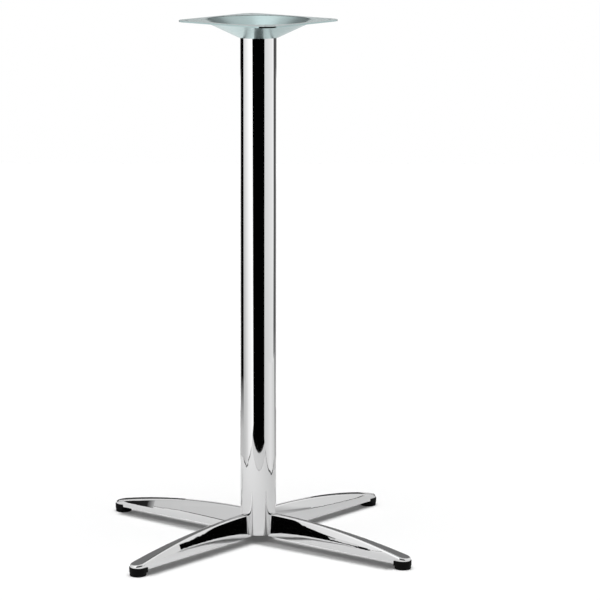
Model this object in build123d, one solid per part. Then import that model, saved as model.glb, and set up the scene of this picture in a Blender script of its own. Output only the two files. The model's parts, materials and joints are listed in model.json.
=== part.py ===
from build123d import *

import os
from math import asin, atan2, cos, hypot, radians, sin, tan

# High table base, in millimetres. Origin on the floor, on the column's axis, +Z up.
# One arm lies along each of +X, +Y, -X and -Y, and the top plate's sides are square to them.

# Overall height, floor to the face that carries the table top
HEIGHT = 1100.0

# Top plate: a square sheet with a conical dish pressed down in its middle
PLATE_SIDE = 250.0
PLATE_CORNER = 31.0
PLATE_SHEET = 3.0
DISH_MOUTH = 111.0          # radius where the dish leaves the plate
DISH_FLOOR = 41.0           # radius of the dish's flat floor
DISH_DEPTH = 33.0           # plate face down to the dish floor
DISH_BEND = 5.0             # inside radius of the bends at mouth and floor
SCREW_PITCH = 210.0         # table screws, along X and along Y
SCREW_HOLE = 6.0

# Column
TUBE_DIAMETER = 75.0
TUBE_WALL = 1.5
TUBE_LIFT = 16.0            # the tube's lower end above the floor
CAP_THICKNESS = 8.0         # disc welded in the tube's upper end
CAP_PLAY = 0.1              # all round, filled by the weld

# Bolt that holds the plate on the column
PLATE_BOLT = 12.0
PLATE_BOLT_LENGTH = 32.0
PLATE_BOLT_FLATS = 19.0
PLATE_BOLT_HEAD = 7.5
PLATE_BOLT_HOLE = 13.0
WASHER_DIAMETER = 37.0
WASHER_THICKNESS = 3.0
NUT_HEIGHT = 10.0
THREAD_PLAY = 0.1           # drawn gap between a thread and its nut, on the radius

# Arms: pressed sheet, open below
FOOT_CIRCLE = 383.0         # column axis to the middle of a foot
ARM_SHEET = 2.0
ARM_LIFT = 13.5             # the arm's lower edge above the floor
ARM_ROOT_TOP = 62.5         # crown above the floor at the column
ARM_NOSE_TOP = 23.4         # crown above the floor at the nose
ARM_ROOT_HALF = 10.2        # half the arm's width along its lower edge, at the column
ARM_NOSE_RADIUS = 16.2      # round nose in plan, along the lower edge
ARM_ROOT_DRAFT = 5.4        # degrees that the flanks lean in at the column
ARM_NOSE_DRAFT = 15.0       # degrees that they lean in at the nose
ARM_ROOT_SWELL = 0.2        # how far they swell out between lower edge and top, at the column
ARM_NOSE_SWELL = 3.7        # the same at the nose
ARM_EDGE = 4.5              # radius along the crown's edges, outside
ARM_INNER_EDGE = 3.0        # the same inside the channel
ARM_PLAY = 0.15             # between the arm's inner end and the tube

# Fixing of the arms, from inside the tube
BLOCK_LENGTH = 22.0
BLOCK_RISE = 36.0
BLOCK_PLAY = 0.1            # all round in the channel, filled by the weld
ARM_BOLT = 6.0
ARM_BOLT_LENGTH = 22.0
ARM_BOLT_FLATS = 10.0
ARM_BOLT_HEAD = 4.0
ARM_BOLT_HOLE = 6.6
ARM_BOLT_FIRST = 12.0       # lower bolt above the arm's lower edge
ARM_BOLT_PITCH = 16.0
STRAP_WIDTH = 14.0
STRAP_MARGIN = 7.5          # strap above the upper bolt and below the lower one
STRAP_THICKNESS = 3.4       # at the strap's middle
STRAP_PLAY = 0.1            # between the strap and the tube

# Foot caps
PAD_RADIUS = 17.0
PAD_EDGE = 2.2              # radius round the pad's sole
BOOT_RADIUS = 17.8          # outside of the lip round the nose
BOOT_BACK = 11.0            # how far the lip runs back past the middle of the foot
BOOT_BOTTOM = 7.5           # step from the pad to the lip, above the floor
BOOT_EDGE = 0.6             # radius round the lip's upper and lower edges
LIP_RISE = 4.5              # lip above the arm's lower edge
PLUG_RISE = 5.5             # plug above the arm's lower edge, in the channel
FOOT_PLAY = 0.15            # between the cap and the sheet

ARM_TURNS = {"right": 0, "back": 90, "left": 180, "front": 270}

# Places that follow from the sizes above
TUBE_RADIUS = TUBE_DIAMETER / 2
TUBE_BORE = TUBE_RADIUS - TUBE_WALL
TUBE_TOP = HEIGHT - DISH_DEPTH - PLATE_SHEET
DISH_FACE = HEIGHT - DISH_DEPTH
ARM_NOSE_REACH = FOOT_CIRCLE + ARM_NOSE_RADIUS
ARM_BOLT_HEIGHTS = (ARM_LIFT + ARM_BOLT_FIRST, ARM_LIFT + ARM_BOLT_FIRST + ARM_BOLT_PITCH)
STRAP_SEAT = TUBE_BORE - STRAP_PLAY - STRAP_THICKNESS
BLOCK_FACE = TUBE_RADIUS + ARM_PLAY

# The crown is an arc that leaves the column level and comes down to the nose
CROWN_RUN = ARM_NOSE_REACH - TUBE_RADIUS
CROWN_FALL = ARM_ROOT_TOP - ARM_NOSE_TOP
CROWN_RADIUS = (CROWN_RUN**2 + CROWN_FALL**2) / (2 * CROWN_FALL)

# The flanks are drawn up past the crown, which then cuts them off
FLANK_RISE = ARM_ROOT_TOP - ARM_LIFT + ARM_SHEET
FOOT_RUN = FOOT_CIRCLE - TUBE_RADIUS


def upright(radius, bottom, top):
    """Round bar on the column's axis, from one height to another."""
    return Pos(0, 0, (bottom + top) / 2) * Cylinder(radius, top - bottom)


def outward(radius, start, end, height):
    """Round bar that points along +X, from one distance to another, at a height."""
    return Pos((start + end) / 2, 0, height) * Rot(0, 90, 0) * Cylinder(radius, end - start)


def hex_bolt(diameter, length, flats, head):
    """Hex bolt that points down, with the seat of its head at the origin."""
    hexagon = extrude(RegularPolygon(flats / 2, 6, major_radius=False), head)
    corner = flats / 2 / cos(radians(30))
    turned = upright(corner, 0, head)
    turned = chamfer(turned.edges().group_by(Axis.Z)[-1], corner - flats / 2)
    shank = upright(diameter / 2, -length, 0)
    shank = chamfer(shank.edges().group_by(Axis.Z)[0], diameter / 12)
    return (hexagon & turned) + shank


def dish_section():
    """Half section of the dish and of the flat ring round its mouth."""
    slope = atan2(DISH_DEPTH, DISH_MOUTH - DISH_FLOOR)
    shift = PLATE_SHEET * tan(slope / 2)
    ring = DISH_MOUTH + (DISH_BEND + PLATE_SHEET) * tan(slope / 2) + PLATE_SHEET
    under = HEIGHT - PLATE_SHEET
    corners = [
        (0, DISH_FACE), (DISH_FLOOR, DISH_FACE), (DISH_MOUTH, HEIGHT), (ring, HEIGHT),
        (ring, under), (DISH_MOUTH + shift, under), (DISH_FLOOR + shift, TUBE_TOP), (0, TUBE_TOP),
    ]
    section = make_face(Polyline(*corners, close=True))
    inside = [section.vertices().sort_by_distance(corners[k])[0] for k in (1, 5)]
    section = fillet(inside, DISH_BEND)
    outside = [section.vertices().sort_by_distance(corners[k])[0] for k in (2, 6)]
    return fillet(outside, DISH_BEND + PLATE_SHEET), ring


def top_plate():
    section, ring = dish_section()
    dish = revolve(Plane.XZ * section, Axis.Z)
    sheet = RectangleRounded(PLATE_SIDE, PLATE_SIDE, PLATE_CORNER) - Circle(ring)
    sheet -= GridLocations(SCREW_PITCH, SCREW_PITCH, 2, 2) * Circle(SCREW_HOLE / 2)
    plate = extrude(Pos(0, 0, HEIGHT - PLATE_SHEET) * sheet, PLATE_SHEET)
    return plate + dish - upright(PLATE_BOLT_HOLE / 2, TUBE_TOP - 1, HEIGHT)


def plate_washer():
    ring = upright(WASHER_DIAMETER / 2, DISH_FACE, DISH_FACE + WASHER_THICKNESS)
    return ring - upright(PLATE_BOLT_HOLE / 2, DISH_FACE - 1, HEIGHT)


def plate_bolt():
    bolt = hex_bolt(PLATE_BOLT, PLATE_BOLT_LENGTH, PLATE_BOLT_FLATS, PLATE_BOLT_HEAD)
    return Pos(0, 0, DISH_FACE + WASHER_THICKNESS) * bolt


def column_cap():
    disc = upright(TUBE_BORE - CAP_PLAY, TUBE_TOP - CAP_THICKNESS, TUBE_TOP)
    return disc - upright(PLATE_BOLT_HOLE / 2, TUBE_LIFT, HEIGHT)


def column_nut():
    top = TUBE_TOP - CAP_THICKNESS
    hexagon = RegularPolygon(PLATE_BOLT_FLATS / 2, 6, major_radius=False)
    nut = extrude(Pos(0, 0, top - NUT_HEIGHT) * hexagon, NUT_HEIGHT)
    return nut - upright(PLATE_BOLT / 2 + THREAD_PLAY, TUBE_LIFT, HEIGHT)


def arm_bolt_bars(radius, start, end):
    """Both bars of one arm's two bolt holes."""
    return Part() + [outward(radius, start, end, height) for height in ARM_BOLT_HEIGHTS]


def column_tube():
    tube = upright(TUBE_RADIUS, TUBE_LIFT, TUBE_TOP) - upright(TUBE_BORE, TUBE_LIFT, TUBE_TOP)
    for turn in ARM_TURNS.values():
        tube -= Rot(0, 0, turn) * arm_bolt_bars(ARM_BOLT_HOLE / 2, TUBE_BORE / 2, FOOT_CIRCLE / 2)
    return tube


def arm_plan(rise, inset):
    """Plan of an arm along +X at a rise above its lower edge, from inside the column to the nose."""
    share = rise / FLANK_RISE
    bulge = 4 * share * (1 - share)
    wall = inset / cos(radians((ARM_ROOT_DRAFT + ARM_NOSE_DRAFT) / 2))
    root_half = ARM_ROOT_HALF - rise * tan(radians(ARM_ROOT_DRAFT)) + bulge * ARM_ROOT_SWELL - wall
    nose = ARM_NOSE_RADIUS - rise * tan(radians(ARM_NOSE_DRAFT)) + bulge * ARM_NOSE_SWELL - wall
    # The sides spread at the angle that makes them run smoothly into the round nose
    spread = asin(nose / hypot(FOOT_RUN, root_half)) - atan2(root_half, FOOT_RUN)
    start = TUBE_RADIUS / 2
    start_half = root_half - (TUBE_RADIUS - start) * tan(spread)
    meet = (FOOT_CIRCLE - nose * sin(spread), nose * cos(spread))
    other_meet = (meet[0], -meet[1])
    outline = Polyline(meet, (start, start_half), (start, -start_half), other_meet)
    outline += ThreePointArc(other_meet, (FOOT_CIRCLE + nose, 0), meet)
    return Pos(0, 0, ARM_LIFT + rise) * make_face(outline)


def arm_form(inset):
    """Solid form of an arm: swelling flanks under an arched crown, shrunk all round by an inset."""
    flanks = loft([arm_plan(share * FLANK_RISE, inset) for share in (0, 0.5, 1)])
    drum = Rot(90, 0, 0) * Cylinder(CROWN_RADIUS - inset, 4 * ARM_NOSE_RADIUS)
    form = flanks & Pos(TUBE_RADIUS, 0, ARM_ROOT_TOP - CROWN_RADIUS) * drum
    crown = max(form.faces().filter_by(GeomType.CYLINDER), key=lambda face: face.area)
    rims = [edge for edge in crown.edges() if edge.center().X > TUBE_RADIUS]
    return fillet(rims, ARM_EDGE - (ARM_EDGE - ARM_INNER_EDGE) * inset / ARM_SHEET)


def arm():
    return arm_form(0) - arm_form(ARM_SHEET) - upright(TUBE_RADIUS + ARM_PLAY, 0, HEIGHT)


def arm_block():
    reach = BLOCK_FACE + BLOCK_LENGTH
    stock = Pos(reach / 2, 0, ARM_LIFT + BLOCK_RISE / 2) * Box(reach, 4 * ARM_ROOT_HALF, BLOCK_RISE)
    block = arm_form(ARM_SHEET + BLOCK_PLAY) & stock
    block -= upright(BLOCK_FACE, 0, HEIGHT)
    return block - arm_bolt_bars(ARM_BOLT / 2 + THREAD_PLAY, 0, 2 * reach)


def arm_strap():
    """Strap behind an arm: round against the tube, flat under the bolt heads."""
    bottom = ARM_BOLT_HEIGHTS[0] - STRAP_MARGIN
    top = ARM_BOLT_HEIGHTS[1] + STRAP_MARGIN
    strap = upright(TUBE_BORE - STRAP_PLAY, bottom, top)
    strap &= Pos(STRAP_SEAT + TUBE_RADIUS, 0, (bottom + top) / 2) * Box(
        2 * TUBE_RADIUS, STRAP_WIDTH, top - bottom)
    return strap - arm_bolt_bars(ARM_BOLT_HOLE / 2, 0, 2 * TUBE_RADIUS)


def arm_bolt_pair():
    bolt = hex_bolt(ARM_BOLT, ARM_BOLT_LENGTH, ARM_BOLT_FLATS, ARM_BOLT_HEAD)
    return [Pos(STRAP_SEAT, 0, height) * Rot(0, -90, 0) * bolt for height in ARM_BOLT_HEIGHTS]


def foot_cap():
    """Moulded cap: round-edged pad, lip round the arm's nose, and a plug inside the channel."""
    middle = Pos(FOOT_CIRCLE, 0, 0)
    pad = middle * upright(PAD_RADIUS, 0, ARM_LIFT)
    pad = fillet(pad.edges().group_by(Axis.Z)[0], PAD_EDGE)
    boot_plan = Circle(BOOT_RADIUS) + Pos(-BOOT_BACK / 2, 0) * Rectangle(BOOT_BACK, 2 * BOOT_RADIUS)
    boot_plan -= Pos(-BOOT_BACK - BOOT_RADIUS, 0) * Rectangle(2 * BOOT_RADIUS, 4 * BOOT_RADIUS)
    boot_rise = ARM_LIFT + LIP_RISE - BOOT_BOTTOM
    boot = middle * extrude(Pos(0, 0, BOOT_BOTTOM) * boot_plan, boot_rise)
    boot = fillet(boot.edges().filter_by(Axis.Z, reverse=True), BOOT_EDGE)
    boot -= arm_form(-FOOT_PLAY)
    plug = arm_form(ARM_SHEET + FOOT_PLAY) & middle * upright(PAD_RADIUS, 0, ARM_LIFT + PLUG_RISE)
    return pad + boot + plug


def write(name, shape):
    export_step(shape, f"parts/{name}.step")


os.makedirs("parts", exist_ok=True)
write("top_plate", top_plate())
write("plate_washer", plate_washer())
write("plate_bolt", plate_bolt())
write("column_cap", column_cap())
write("column_nut", column_nut())
write("column_tube", column_tube())
for side, turn in ARM_TURNS.items():
    write(f"arm_{side}", Rot(0, 0, turn) * arm())
    write(f"arm_block_{side}", Rot(0, 0, turn) * arm_block())
    write(f"foot_cap_{side}", Rot(0, 0, turn) * foot_cap())
straps = [Rot(0, 0, turn) * arm_strap() for turn in ARM_TURNS.values()]
write("arm_straps", Compound(children=straps))
bolts = [Rot(0, 0, turn) * bolt for turn in ARM_TURNS.values() for bolt in arm_bolt_pair()]
write("arm_bolts", Compound(children=bolts))
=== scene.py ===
# %% [markdown]
# # A chromed high table base
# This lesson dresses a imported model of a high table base: a mirror-chromed column on four pressed
# arms with black moulded feet, under a zinc-plated top plate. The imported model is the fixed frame:
# its meshes and places stay as they are, and finishes, a studio and a camera are added. Everything
# is in metres, with the floor at z = 0 and the column on the z axis.

import json
import math

import bpy
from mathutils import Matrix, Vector

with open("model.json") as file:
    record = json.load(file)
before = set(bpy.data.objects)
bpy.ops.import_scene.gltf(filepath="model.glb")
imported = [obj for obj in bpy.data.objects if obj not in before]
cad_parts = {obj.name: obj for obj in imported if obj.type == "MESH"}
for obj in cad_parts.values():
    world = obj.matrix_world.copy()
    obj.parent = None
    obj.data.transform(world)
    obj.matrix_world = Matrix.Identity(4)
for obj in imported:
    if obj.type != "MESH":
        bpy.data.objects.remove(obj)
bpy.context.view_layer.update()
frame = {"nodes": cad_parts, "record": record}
nodes = frame["nodes"]

# %% [markdown]
# ## The camera
# A product picture of something tall and slim is taken from far away with a long lens, so that its
# upright lines stay upright. The camera stands a little above the plate and looks slightly down.
# It could be placed by coordinates and a target. It is given here as a distance, a height, a turn
# round the column and three small angles, because those are what one would measure on a studio
# floor.

# %% Camera
CAMERA_TURN = -50.51        # degrees round the column from +X
CAMERA_DISTANCE = 6.339     # from the column's axis, along the floor
CAMERA_HEIGHT = 1.649
CAMERA_DROP = 10.15         # degrees that it looks down
CAMERA_YAW = 0.761          # degrees that it looks past the column, to the right
CAMERA_ROLL = -0.15         # degrees that it is tipped on its tripod
CAMERA_LENS = 184.7         # millimetres, on the sensor below
CAMERA_SENSOR = 36.0
CAMERA_REACH = 100.0        # nothing farther than this is drawn


def studio(azimuth, distance, height=0.0):
    """Place in the studio: azimuth in degrees from the camera's side, positive to its right."""
    angle = math.radians(CAMERA_TURN + azimuth)
    return Vector((distance * math.cos(angle), distance * math.sin(angle), height))


camera = bpy.data.objects.new("camera", bpy.data.cameras.new("camera"))
camera.data.lens = CAMERA_LENS
camera.data.sensor_width = CAMERA_SENSOR
camera.data.clip_end = CAMERA_REACH
camera.location = studio(0, CAMERA_DISTANCE, CAMERA_HEIGHT)
camera.rotation_euler = (
    math.radians(90 - CAMERA_DROP),
    math.radians(CAMERA_ROLL),
    math.radians(CAMERA_TURN + 90 - CAMERA_YAW))
bpy.context.collection.objects.link(camera)
bpy.context.scene.camera = camera
print("camera at", [round(value, 3) for value in camera.location])

# %% [markdown]
# ## Shader maths as Python
# A finish is a small sum: so much roughness, plus a little more where the haze is thick. The nodes
# for it could be added and linked one by one, but then the sum is hard to read. So one class wraps
# a socket: such a sum is written as Python, and each operator adds its Math node. Every other node
# comes from the method named node.

# %% Wire: a socket that can be reckoned with
MIX_FACTOR, MIX_FIRST, MIX_SECOND, MIX_RESULT = 0, 6, 7, 2      # a Mix node's sockets for colours


class Wire:
    """One socket of a node tree."""

    def __init__(self, tree, socket=None):
        self.tree = tree
        self.socket = socket

    def node(self, kind, settings=None, inputs=None, output=0):
        """Add a node, set it up, fill or link its inputs, and return one of its outputs."""
        made = self.tree.nodes.new(kind)
        for name, value in (settings or {}).items():
            setattr(made, name, value)
        for key, value in (inputs or {}).items():
            if isinstance(value, Wire):
                self.tree.links.new(value.socket, made.inputs[key])
            else:
                made.inputs[key].default_value = value
        return Wire(self.tree, made.outputs[output] if len(made.outputs) else None)

    def math(self, operation, *values):
        return self.node("ShaderNodeMath", {"operation": operation}, dict(enumerate(values)))

    def __add__(self, other):
        return self.math("ADD", self, other)

    def __sub__(self, other):
        return self.math("SUBTRACT", self, other)

    def __rsub__(self, other):
        return self.math("SUBTRACT", other, self)

    def __mul__(self, other):
        return self.math("MULTIPLY", self, other)

    __radd__ = __add__
    __rmul__ = __mul__

    def mix(self, first, second):
        """Colour between two colours, by this value."""
        return self.node("ShaderNodeMix", {"data_type": "RGBA"},
                         {MIX_FACTOR: self, MIX_FIRST: first, MIX_SECOND: second}, MIX_RESULT)

    def scaled(self, level):
        """This colour or vector, times one value."""
        return self.node("ShaderNodeVectorMath", {"operation": "SCALE"}, {0: self, "Scale": level})

    def along(self, direction):
        """How far this place lies along a direction."""
        return self.node("ShaderNodeVectorMath", {"operation": "DOT_PRODUCT"},
                         {0: self, 1: direction}, "Value")

    def stretch(self, scale):
        """This vector, scaled along x, y and z."""
        return self.node("ShaderNodeVectorMath", {"operation": "MULTIPLY"}, {0: self, 1: scale})

    def noise(self, scale, detail=2.0, roughness=0.5):
        """Soft random values from 0 to 1 at this place."""
        return self.node("ShaderNodeTexNoise", {}, {
            "Vector": self, "Scale": scale, "Detail": detail, "Roughness": roughness})

    def bump(self, strength, distance):
        """Normal of a surface that this value lifts by up to a distance."""
        return self.node("ShaderNodeBump", {}, {
            "Height": self, "Strength": strength, "Distance": distance})


# %% [markdown]
# ## A material from start to end
# Each finish below starts from the place on the object and ends in one Principled shader. Places
# are taken in the object's own metres and not from an unwrapped map, because the pieces come from
# CAD and have none. So a noise scale reads as so many grains to the metre.

# %% Start and end of a material
def new_material(name):
    """An empty material, and its wire for places on the object, in metres."""
    material = bpy.data.materials.new(name)
    material.use_nodes = True
    tree = material.node_tree
    tree.nodes.clear()
    place = Wire(tree).node("ShaderNodeTexCoord", output="Object")
    return material, place


def surface(place, **sockets):
    """Close a material with one Principled shader; names use _ for the spaces in socket names."""
    inputs = {name.replace("_", " "): value for name, value in sockets.items()}
    shader = place.node("ShaderNodeBsdfPrincipled", {}, inputs)
    place.node("ShaderNodeOutputMaterial", {}, {"Surface": shader})


# %% [markdown]
# ## Chrome plate
# Bright chrome is a mirror with hardly any cast. A perfect mirror would look computed. What tells
# plate from it is small: a thin haze, marks where it was wiped, and a slow waviness left by drawing
# the tube and pressing the sheet, which makes the edges of reflections wander by a hair. The tube's
# waves run along it, and the arms' waves run every way, so there are two chromes.

# %% Chrome
CHROME_DEEP = (0.765, 0.767, 0.77, 1)
CHROME_PALE = (0.80, 0.80, 0.802, 1)
CHROME_CLEAN = 0.018        # roughness of clean plate
CHROME_HAZE = 0.03          # roughness that the thickest haze adds
CHROME_WIPED = 0.012        # roughness that the deepest wiping marks add


def make_chrome(name, wave_scale, wave_depth):
    """Mirror plate with haze, wiping marks and waves."""
    material, place = new_material(name)
    haze = place.noise(scale=14.0, detail=4.0, roughness=0.6)
    wiped = place.stretch((60.0, 60.0, 9.0)).noise(scale=6.0, detail=3.0)
    wave = place.stretch(wave_scale).noise(scale=1.0, detail=1.0)
    surface(place, Base_Color=haze.mix(CHROME_DEEP, CHROME_PALE), Metallic=1.0,
            Roughness=CHROME_CLEAN + CHROME_HAZE * haze * haze * haze + CHROME_WIPED * wiped,
            Normal=wave.bump(strength=1.0, distance=wave_depth))
    return material


tube_chrome = make_chrome("tube_chrome", wave_scale=(6.0, 6.0, 2.5), wave_depth=0.00008)
arm_chrome = make_chrome("arm_chrome", wave_scale=(14.0, 14.0, 14.0), wave_depth=0.00012)
print("chrome:", tube_chrome.name, arm_chrome.name)

# %% [markdown]
# ## Zinc plate
# The top plate is pressed from rolled sheet and zinc-plated: pale, slightly blue, with a soft sheen.
# Rolling leaves fine lines one way, and the plating bath leaves broad faint clouds. The crystals of
# the zinc scatter part of the light, so it is less of a mirror than chrome. Its cut edges, which
# stand upright, were sheared smooth, so they are smoother and all metal. Their colour is also made
# darker, a painted shade that deepens the dark line they mirror. They could be picked out as faces,
# but the way a face looks says the same and needs no change to the mesh.

# %% Zinc
EDGE_LIMIT = 0.05           # a face is a cut edge where its normal's z, squared, is under this
PAINTED_EDGE_SHADE = 0.62           # painted shade of a cut edge: its colour, as a part of the sheet's, darkened to deepen the dark line it mirrors
EDGE_SMOOTH = 0.8           # part of the roughness that a cut edge loses
CLOUD_ROUGH, ROLLED_ROUGH = 0.06, 0.04
ROLLED_RELIEF, GRAIN_RELIEF = 0.6, 0.4


def make_zinc(name, pale, deep, sheen, mirror):
    """Zinc plate; sheen is its least roughness, and mirror the part of it that is metallic."""
    material, place = new_material(name)
    clouds = place.noise(scale=18.0, detail=3.0, roughness=0.55)
    rolled = place.stretch((900.0, 25.0, 300.0)).noise(scale=1.0)
    grain = place.noise(scale=900.0)
    facing = place.node("ShaderNodeNewGeometry", output="Normal")
    rise = facing.along((0, 0, 1))
    edge = place.math("LESS_THAN", rise * rise, EDGE_LIMIT)
    colour = clouds.mix(deep, pale)
    roughness = sheen + CLOUD_ROUGH * clouds + ROLLED_ROUGH * rolled
    relief = ROLLED_RELIEF * rolled + GRAIN_RELIEF * grain
    # painted shade: upright cut edges get a darker colour, which deepens the dark line they mirror
    surface(place, Base_Color=edge.mix(colour, colour.scaled(PAINTED_EDGE_SHADE)),
            Metallic=mirror + (1 - mirror) * edge,
            Roughness=roughness * (1 - EDGE_SMOOTH * edge),
            Normal=relief.bump(strength=0.25, distance=0.00002))
    return material


zinc_plate = make_zinc("zinc_plate", pale=(0.65, 0.80, 0.79, 1), deep=(0.53, 0.68, 0.69, 1),
                       sheen=0.17, mirror=0.92)
bolt_zinc = make_zinc("bolt_zinc", pale=(0.70, 0.73, 0.76, 1), deep=(0.58, 0.61, 0.64, 1),
                      sheen=0.26, mirror=0.9)
print("zinc:", zinc_plate.name, bolt_zinc.name)

# %% [markdown]
# ## Bare steel
# The pieces welded inside are never polished: dark mill scale, brighter and smoother where it has
# worn off. One noise drives colour, roughness and relief together, because on the real steel they
# change together.

# %% Bare steel
SCALE_DARK = (0.16, 0.155, 0.15, 1)
STEEL_BRIGHT = (0.46, 0.45, 0.44, 1)
SCALE_ROUGH = 0.62
WORN_SMOOTH = 0.25          # roughness lost where the scale has worn off


def make_bare_steel():
    material, place = new_material("bare_steel")
    worn = place.noise(scale=70.0, detail=5.0, roughness=0.65)
    surface(place, Base_Color=worn.mix(SCALE_DARK, STEEL_BRIGHT), Metallic=1.0,
            Roughness=SCALE_ROUGH - WORN_SMOOTH * worn,
            Normal=worn.bump(strength=0.4, distance=0.0001))
    return material


bare_steel = make_bare_steel()
print("steel:", bare_steel.name)

# %% [markdown]
# ## Black moulded plastic
# The feet are polypropylene with a fine spark-eroded texture from the mould. It is nearly black and
# shows only a broad dull gloss, a little duller where shoes have brushed it. The texture is far too
# fine to model, so it is a bump.

# %% Black plastic
PLASTIC_BLACK = (0.002, 0.002, 0.0022, 1)
PLASTIC_SCUFFED = (0.007, 0.007, 0.0074, 1)
PLASTIC_ROUGH = 0.36
SCUFF_ROUGH = 0.2           # roughness that the worst scuffs add
PLASTIC_GLOSS = 0.05


def make_black_plastic():
    material, place = new_material("black_plastic")
    texture = place.noise(scale=2600.0)
    scuff = place.noise(scale=90.0, detail=4.0, roughness=0.6)
    surface(place, Base_Color=scuff.mix(PLASTIC_BLACK, PLASTIC_SCUFFED), Metallic=0.0,
            Roughness=PLASTIC_ROUGH + SCUFF_ROUGH * scuff, Specular_IOR_Level=PLASTIC_GLOSS,
            Normal=texture.bump(strength=0.3, distance=0.00005))
    return material


black_plastic = make_black_plastic()
print("plastic:", black_plastic.name)

# %% [markdown]
# ## A finish for every node
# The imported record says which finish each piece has, so the finishes are given out from it and not
# from a second list that could drift from it. Only the column differs: its chrome has the waves of
# a drawn tube.

# %% Give every node its finish
FINISHES = {
    "zinc_plate": zinc_plate,
    "bolt_steel": bolt_zinc,
    "bare_steel": bare_steel,
    "black_plastic": black_plastic,
    "chrome": arm_chrome,
}
for subpart in frame["record"]["subparts"]:
    name = subpart["node"]
    finish = tube_chrome if name == "column_tube" else FINISHES[subpart["material_slot"]]
    nodes[name].data.materials.clear()
    nodes[name].data.materials.append(finish)
print("finished", len(nodes), "nodes")

# %% [markdown]
# ## The studio
# A mirror has no colour of its own: it shows the room. So the room is the real finish of this
# object. It could be an image of a studio wrapped round the scene, but then nothing in it is near,
# and near things are what bend along an arm. So the room is built from glowing cards. They are seen
# in the metal alone: the camera never sees them, and they throw neither light nor shadow. A card is
# a sheet between two edges, and an edge is a distance from the column, by azimuth, with a height.
# A veil is an upright strip that points at the column. The column sees it edge on, so that only
# the flanks of the arms show it.

# %% Cards seen only in the metal
CARD_STEPS = 32
cards = []


def make_card_glow():
    """Plain light, as strong as the glow that each point of a card carries."""
    material, place = new_material("card_glow")
    level = place.node("ShaderNodeAttribute", {"attribute_name": "glow"}, output="Color")
    light = place.node("ShaderNodeEmission", {}, {"Color": level, "Strength": 1.0})
    place.node("ShaderNodeOutputMaterial", {}, {"Surface": light})
    return material


card_glow = make_card_glow()


def glowing(name, points, faces, glows):
    """A stage piece that only mirrors see, with a glow for each point."""
    mesh = bpy.data.meshes.new(name)
    mesh.from_pydata(points, [], faces)
    mesh.attributes.new("glow", "FLOAT", "POINT").data.foreach_set("value", glows)
    mesh.materials.append(card_glow)
    made = bpy.data.objects.new(name, mesh)
    made.visible_camera = False
    made.visible_diffuse = False
    made.visible_shadow = False
    bpy.context.collection.objects.link(made)
    cards.append(made)


def between(ends, part):
    """Value at a part of the way from the first end to the second."""
    return ends[0] + (ends[1] - ends[0]) * part


def card(name, span, lower, upper, glow, upper_glow=None, upper_span=None):
    """Sheet over a span of azimuths, from a lower edge to an upper one.

    The glow is given where the span starts and where it ends. The upper edge has the glow and the
    span of the lower one, unless it has its own.
    """
    points = []
    glows = []
    edges = ((lower, glow, span), (upper, upper_glow or glow, upper_span or span))
    for k in range(CARD_STEPS + 1):
        part = k / CARD_STEPS
        for (distance, height), ends, reach in edges:
            azimuth = between(reach, part)
            points.append(studio(azimuth, distance(azimuth), height))
            glows.append(between(ends, part))
    faces = [(2 * k, 2 * k + 2, 2 * k + 3, 2 * k + 1) for k in range(CARD_STEPS)]
    glowing(name, points, faces, glows)


def veil(name, azimuth, near, far, near_glow, far_glow):
    """Upright strip along one azimuth; an end is a distance, foot and top, with two glows."""
    points = [studio(azimuth, end[0], height) for end in (near, far) for height in end[1:]]
    glowing(name, points, [(0, 2, 3, 1)], [*near_glow, *far_glow])


def straight_edge(face, distance, bow=1.0):
    """A line that the column sees squarely at one azimuth; straight, or bowed for a bow under 1."""
    return lambda azimuth: distance / math.cos(bow * math.radians(azimuth - face))


def round_edge(distance):
    """A line that keeps its distance from the column."""
    return lambda azimuth: distance


def even(glow):
    """The same glow at both ends."""
    return (glow, glow)


print("card material:", card_glow.name)

# %% [markdown]
# ## White panels
# A white panel stands close on either side, as for most pictures of shiny things: it draws the
# broad bright bands down the column and along the arms. Each stands on a thin dark rail, which
# draws the fine line between panel and floor in the arms. One flat white would draw flat bands, so
# the glow changes along each panel, and low skirts have their own shades.

# %% White panels left and right
LIE = 0.0006                # height of a card that lies on the floor
RAIL = 0.006                # height of the dark foot of a panel
RAIL_GLOW = even(0.05)
PANEL_TOP = 2.0
LEFT_FACE, LEFT_AWAY = -84, 0.712       # azimuth and distance at which a panel faces the column
RIGHT_FACE, RIGHT_AWAY = 90.5, 0.630
STAND_OFF = 0.002           # between a panel and a card in front of it
left = straight_edge(LEFT_FACE, LEFT_AWAY)
before_left = straight_edge(LEFT_FACE, LEFT_AWAY - STAND_OFF)
right = straight_edge(RIGHT_FACE, RIGHT_AWAY)
before_right = straight_edge(RIGHT_FACE, RIGHT_AWAY - STAND_OFF)

card("white_left", (-108, -31.5), (left, RAIL), (left, PANEL_TOP), glow=(0.40, 1.3),
     upper_glow=(1.36, 1.65), upper_span=(-108, -48.5))
card("skirt_left", (-108, -74), (before_left, RAIL), (before_left, 0.2), glow=(0.61, 0.79),
     upper_glow=(0.62, 0.80))
card("rail_left", (-110, -46), (left, LIE), (left, RAIL), glow=RAIL_GLOW)

SKIRT = 0.26                # the right panel reaches farther back below this height
card("white_right", (39, 113), (right, SKIRT), (right, PANEL_TOP), glow=(0.77, 0.94),
     upper_glow=(0.99, 1.4))
card("skirt_right", (39, 82), (right, RAIL), (right, SKIRT), glow=(0.73, 0.91),
     upper_glow=(0.75, 0.93))
card("skirt_back", (82, 124), (right, RAIL), (right, SKIRT), glow=(0.91, 0.74),
     upper_glow=(0.93, 0.78))
card("rail_right", (46, 124), (right, LIE), (right, RAIL), glow=RAIL_GLOW)

BAND_FOOT, BAND_TOP = 1.02, 1.3         # so high that only the plate's edge shows the band
card("band_right", (36, 79), (before_right, BAND_FOOT), (before_right, BAND_TOP), glow=even(0.001))
print("panels: left", left(LEFT_FACE), "m and right", right(RIGHT_FACE), "m away")
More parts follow.
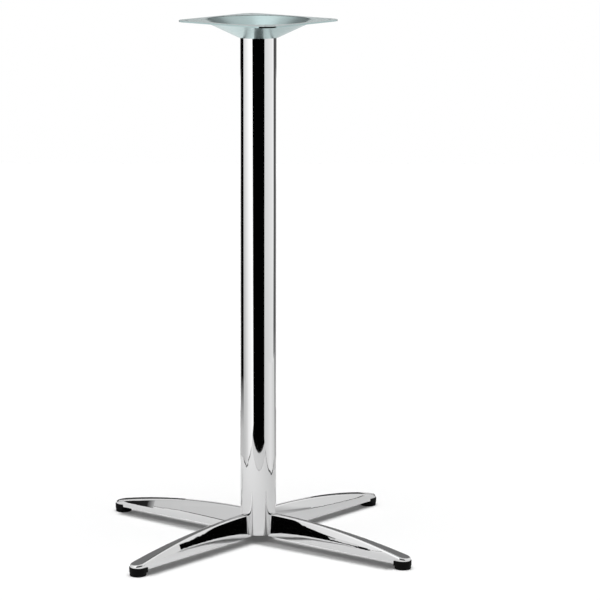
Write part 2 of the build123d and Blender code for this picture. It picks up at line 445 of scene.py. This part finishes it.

# %% [markdown]
# ## Flag and veils
# Photographers call a small dark card a flag. One stands beside the left back arm and draws the
# dark end of its flank, with one edge that fades. The veils set where light and dark part on the
# flanks: a pale one with a dark hem beside the left back arm, a soft dark veil beside the right
# back arm, which paints a dark reflected patch on its flank, and a pale strip beside the front
# left arm, because each front arm mirrors the dark room by way of the other, and near the tips
# that has to end.

# %% Flag and veils
FLAG_START = -118.5         # azimuth
FLAG_FADE, FLAG_WIDTH = 0.2, 1          # degrees from its start to full dark, and to its end
FLAG_AWAY, FLAG_SLANT = 0.328, 0.12     # distance at its start, and how much it grows per degree
FLAG_FOOT, FLAG_TOP = 0.017, 0.06


def flag_edge(azimuth):
    return FLAG_AWAY + FLAG_SLANT * (azimuth - FLAG_START)


flag_dark = FLAG_START + FLAG_FADE
card("flag_fade", (FLAG_START, flag_dark), (flag_edge, FLAG_FOOT), (flag_edge, FLAG_TOP),
     glow=(0.5, 0.02))
card("flag_left", (flag_dark, FLAG_START + FLAG_WIDTH), (flag_edge, FLAG_FOOT),
     (flag_edge, FLAG_TOP), glow=(0.02, 0.005))
veil("veil_left", FLAG_START, near=(0.039, 0.0268, 0.064), far=(0.240, 0.0290, 0.042),
     near_glow=even(0.73), far_glow=even(0.69))
veil("hem_left", FLAG_START, near=(0.039, 0.0253, 0.0268), far=(0.240, 0.0275, 0.0290),
     near_glow=RAIL_GLOW, far_glow=RAIL_GLOW)

# painted reflection: a dark veil, seen only in the metal, draws a soft dark patch on the right back
# arm's flank
DARK_VEIL = 126                # azimuth
veil("dark_veil_low", DARK_VEIL, near=(0.055, 0.040, 0.050), far=(0.225, 0.0285, 0.0325),
     near_glow=(0.71, 0.50), far_glow=(0.71, 0.25))
veil("dark_veil_high", DARK_VEIL, near=(0.055, 0.050, 0.066), far=(0.225, 0.0325, 0.0365),
     near_glow=(0.50, 0.82), far_glow=(0.25, 0.82))

CORNER = -35                # azimuth, close to the front left arm
veil("pale_corner", CORNER, near=(0.2575, 0.0290, 0.046), far=(0.330, 0.0225, 0.046),
     near_glow=even(0.82), far_glow=even(0.80))
print("cards with flag and veils:", len(cards))

# %% [markdown]
# ## Dark room and dark gaps
# The room behind the camera is dark, and a dark gap with a grey floor lies behind each panel. They
# give the column its black stripes, without which chrome looks like grey paint. In front, the white
# paper ends in a thin line, then comes a pale table, and beyond it the dark.

# %% Dark room in front, dark gaps behind the panels
BLACK = even(0.0008)
FRONT_FACE = 6              # azimuth at which the paper's edge faces the column
SHEET = 0.694               # distance at which the white paper ends
LINE_WIDTH = 0.008
sheet_end = straight_edge(FRONT_FACE, SHEET)
line_end = straight_edge(FRONT_FACE, SHEET + LINE_WIDTH)
table_end = straight_edge(6.8, 0.878, bow=0.8)
room_end = round_edge(2.6)
ROOM_SPAN = (-60, 60)
ROOM_TOP = 3.0
card("paper_edge", (-34, 44), (sheet_end, LIE), (line_end, LIE), glow=even(0.5))
card("table_edge", (-40, 44), (line_end, LIE), (table_end, LIE), glow=(0.80, 0.70),
     upper_glow=(0.78, 0.70))
card("dark_ground", ROOM_SPAN, (table_end, LIE), (room_end, LIE), glow=BLACK)
card("dark_front", ROOM_SPAN, (room_end, LIE), (room_end, ROOM_TOP), glow=BLACK)

PLATE_SIGHT_LEFT = 0.93     # only the plate's edge would see the gaps above these heights
PLATE_SIGHT_RIGHT = 0.87
gap_left = round_edge(1.75)
fade_left = round_edge(1.10)
near_left = round_edge(0.80)
card("dark_left", (-152, -104), (gap_left, LIE), (gap_left, PLATE_SIGHT_LEFT), glow=BLACK)
card("fade_left", (-152, -109), (fade_left, LIE), (gap_left, LIE), glow=even(0.58),
     upper_glow=BLACK)
card("grey_left", (-152, -109), (near_left, LIE), (fade_left, LIE), glow=(0.66, 0.60),
     upper_glow=even(0.58))

gap_right = round_edge(2.4)
near_right = round_edge(0.66)
card("dark_right", (100, 150), (gap_right, LIE), (gap_right, PLATE_SIGHT_RIGHT), glow=(0.09, 0.14),
     upper_glow=(0.07, 0.12))
card("grey_right", (107, 150), (near_right, LIE), (gap_right, LIE), glow=(0.58, 0.62),
     upper_glow=(0.12, 0.16))
print("cards with the dark room:", len(cards))

# %% [markdown]
# ## Wall behind and ceiling
# The outer edges of the column, the crowns of the arms, and the plate with its dish look past the
# object to the far wall and the ceiling. The wall is pale below and dark above, and a low dark
# fence stands close behind the base. High on the wall there is a pale patch with a dark one over
# it, and a dark strip and a soft box are under the ceiling. The plate and the dish show these.

# %% Wall behind and ceiling
BEHIND = 180                # azimuth
wall = straight_edge(BEHIND, 2.6)
before_wall = straight_edge(BEHIND, 2.59)
near_wall = round_edge(0.66)
fence = straight_edge(BEHIND, 0.72)
FENCE_TOP = 0.12
WALL_SPAN = (142, 218)
WALL_FOOT, WALL_MIDDLE = 0.38, 0.70     # heights at which the wall changes its shade
PATCH_FOOT, PATCH_TOP = 1.13, 1.66
DIM = even(0.02)
card("grey_back", (150, BEHIND), (near_wall, LIE), (wall, LIE), glow=(0.64, 0.68))
card("pale_back", (BEHIND, 208), (near_wall, LIE), (wall, LIE), glow=even(0.88))
card("fence_back", (154, 206), (fence, LIE), (fence, FENCE_TOP), glow=even(0.03))

CEILING = 3.0
CEILING_EDGE = 3.2          # distance from the column's axis
STRIP_HEIGHT, SOFTBOX_HEIGHT = 2.97, 2.98
middle = round_edge(0.001)
ceiling_end = round_edge(CEILING_EDGE)
softbox_near = round_edge(0.9)
softbox_far = round_edge(1.9)
card("wall_foot", WALL_SPAN, (wall, LIE), (wall, WALL_FOOT), glow=(0.62, 0.82))
card("wall_middle", WALL_SPAN, (wall, WALL_FOOT), (wall, WALL_MIDDLE), glow=even(0.95))
card("wall_top", WALL_SPAN, (wall, WALL_MIDDLE), (wall, CEILING), glow=even(0.2))
card("wall_pale", (174.5, 185.5), (before_wall, PATCH_FOOT), (before_wall, PATCH_TOP),
     glow=(0.74, 0.70))
card("wall_dark", (172.5, 187.5), (before_wall, PATCH_TOP), (before_wall, CEILING), glow=DIM)
card("ceiling", (0, 360), (middle, CEILING), (ceiling_end, CEILING), glow=even(0.88),
     upper_glow=even(0.42))
card("ceiling_dark", (172, 188), (softbox_far, STRIP_HEIGHT), (ceiling_end, STRIP_HEIGHT), glow=DIM)
card("softbox", (177, 193), (softbox_near, SOFTBOX_HEIGHT), (softbox_far, SOFTBOX_HEIGHT),
     glow=even(1.10), upper_glow=even(1.04))
print("cards in all:", len(cards))

# %% [markdown]
# ## The floor
# The floor is a plain sheet of pale paper. It is lit the same all over, so it is white out to its
# edge and keeps a soft shadow under the arms. It also glows a little for the camera and in the
# metal, which lifts it to white without more light on the object. In the metal its paper is
# greyer, more so to the right and to the back.

# %% Floor
FLOOR_HALF = 6.0
PAPER_DEEP = (0.91, 0.91, 0.91, 1)
PAPER_PALE = (0.93, 0.93, 0.93, 1)
PAPER_GLOW = 0.065
PAPER_ROUGH = 0.9
PAPER_IN_METAL = 0.75       # shade of the paper in the metal, at the column
RIGHT_LOSS, FRONT_GAIN = 0.14, 0.1      # how that shade changes with each metre
NO_LIGHT = (0, 0, 0, 1)
WHITE = (1, 1, 1, 1)


def seen_rays(wire):
    """1 where the camera looks, straight or by way of metal or glass, and 0 for light on things."""
    camera_ray, glossy, clear = [
        wire.node("ShaderNodeLightPath", output=kind)
        for kind in ("Is Camera Ray", "Is Glossy Ray", "Is Transmission Ray")]
    return wire.math("MAXIMUM", wire.math("MAXIMUM", camera_ray, glossy), clear)


def make_floor():
    """Square sheet of paper that lies square to the camera."""
    corners = [studio(45 + 90 * k, FLOOR_HALF * math.sqrt(2)) for k in range(4)]
    mesh = bpy.data.meshes.new("floor")
    mesh.from_pydata(corners, [], [(0, 1, 2, 3)])
    material, place = new_material("floor_paper")
    paper = place.noise(scale=300.0, detail=3.0).mix(PAPER_DEEP, PAPER_PALE)
    to_right = place.along(studio(90, 1))
    to_front = place.along(studio(0, 1))
    shade = PAPER_IN_METAL - RIGHT_LOSS * to_right + FRONT_GAIN * to_front
    in_metal = place.node("ShaderNodeLightPath", output="Is Glossy Ray")
    surface(place, Base_Color=in_metal.mix(paper, paper.scaled(shade)), Roughness=PAPER_ROUGH,
            Specular_IOR_Level=0.0, Emission_Strength=PAPER_GLOW,
            Emission_Color=seen_rays(place).mix(NO_LIGHT, WHITE))
    mesh.materials.append(material)
    made = bpy.data.objects.new("floor", mesh)
    bpy.context.collection.objects.link(made)
    return made


print("floor:", make_floor().dimensions[:])

# %% [markdown]
# ## Cloth under the arms
# A strip of cloth is held under each arm, a little above the paper, to settle a shiny thing on
# white. It is seen neither by the camera nor in the metal. It only widens the shadow that the arm
# throws on the floor anyway. A darker or harder lamp would do that too, but it would change the
# light on the object. Each side of a strip has its own width, so the shadow can be broad on one
# side of an arm.

# %% Cloth under the arms
CLOTH_HEIGHT = 0.018
CLOTH_ROOT, CLOTH_TIP = 0.02, 0.372     # from the column's axis
WIDE, SLIM, FAR = (0.044, 0.033), (0.025, 0.026), (0.020, 0.020)    # half widths, root and tip


def cloth(name, turn, right_side, left_side):
    """Strip along an arm; each side is its half width at the root and at the tip."""
    out = Vector((math.cos(math.radians(turn)), math.sin(math.radians(turn)), 0))
    across = Vector((out.y, -out.x, 0))
    lift = Vector((0, 0, CLOTH_HEIGHT))
    corners = [out * CLOTH_ROOT + across * right_side[0], out * CLOTH_TIP + across * right_side[1],
               out * CLOTH_TIP - across * left_side[1], out * CLOTH_ROOT - across * left_side[0]]
    mesh = bpy.data.meshes.new(name)
    mesh.from_pydata([corner + lift for corner in corners], [], [(0, 1, 2, 3)])
    made = bpy.data.objects.new(name, mesh)
    made.visible_camera = False
    made.visible_glossy = False
    made.visible_diffuse = False
    bpy.context.collection.objects.link(made)
    return made


cloths = [cloth("cloth_right", 0, WIDE, FAR), cloth("cloth_back", 90, FAR, FAR),
          cloth("cloth_left", 180, FAR, WIDE), cloth("cloth_front", 270, FAR, SLIM)]
print("cloths:", [made.name for made in cloths])

# %% [markdown]
# ## Light
# A wide sun, nearly straight above, lights the floor. Area lamps would do too, but their light
# falls off, and the paper would fade to grey at its edges. In the metal the sun is left out, since
# the cards are there. The world is white to the eye and adds only a little light.

# %% Light
SUN_STRENGTH = 3.0
SUN_WIDTH = 60              # degrees across
SUN_LEAN = 10               # degrees from straight above, to the camera's side
WORLD_FILL = 0.12

sun = bpy.data.objects.new("sun", bpy.data.lights.new("sun", "SUN"))
sun.data.energy = SUN_STRENGTH
sun.data.angle = math.radians(SUN_WIDTH)
sun_place = studio(0, math.sin(math.radians(SUN_LEAN)), math.cos(math.radians(SUN_LEAN)))
sun.rotation_euler = sun_place.to_track_quat("Z", "Y").to_euler()
sun.visible_glossy = False
bpy.context.collection.objects.link(sun)

world = bpy.data.worlds.new("studio_white")
bpy.context.scene.world = world
world.use_nodes = True
world.node_tree.nodes.clear()
sky = Wire(world.node_tree)
level = WORLD_FILL + (1 - WORLD_FILL) * seen_rays(sky)
light = sky.node("ShaderNodeBackground", {}, {"Color": WHITE, "Strength": level})
sky.node("ShaderNodeOutputWorld", {}, {"Surface": light})
bpy.context.scene.view_settings.view_transform = "Standard"
print("sun", SUN_STRENGTH, "and world", WORLD_FILL)
